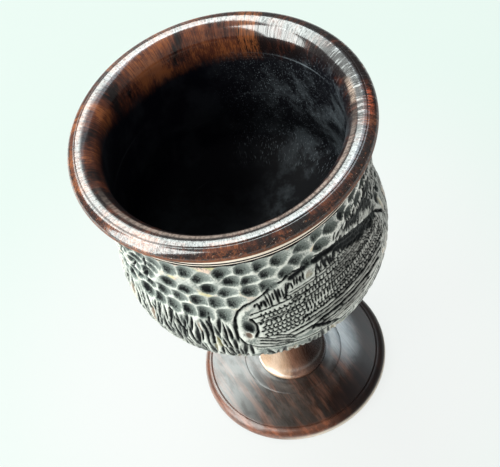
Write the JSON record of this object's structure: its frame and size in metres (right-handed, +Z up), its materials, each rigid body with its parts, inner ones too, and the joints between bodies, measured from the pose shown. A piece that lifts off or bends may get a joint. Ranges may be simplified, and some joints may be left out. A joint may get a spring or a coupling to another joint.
{
  "type": "carved wooden goblet",
  "caption": "Turned hardwood goblet for drinking, with a rolled glossy lip, a deep bowl with a carved outside, a short waisted stem and a flat round foot.",
  "frame": {"origin": "middle of the foot's underside, on the surface that the goblet stands on", "axes": "+Z up along the turning axis, towards the mouth; +Y away from the side that the picture shows, +X to its right"},
  "size_m": [0.084, 0.084, 0.1329],
  "materials": {
    "carved_bowl": "grey patinated carving between polished dark brown lip and inside",
    "stem_wood": "polished mid brown, flared at its base",
    "foot_wood": "polished dark brown"
  },
  "bodies": {
    "root": {"bowl": "carved_bowl", "stem": "stem_wood", "foot": "foot_wood"}
  },
  "joints": []
}
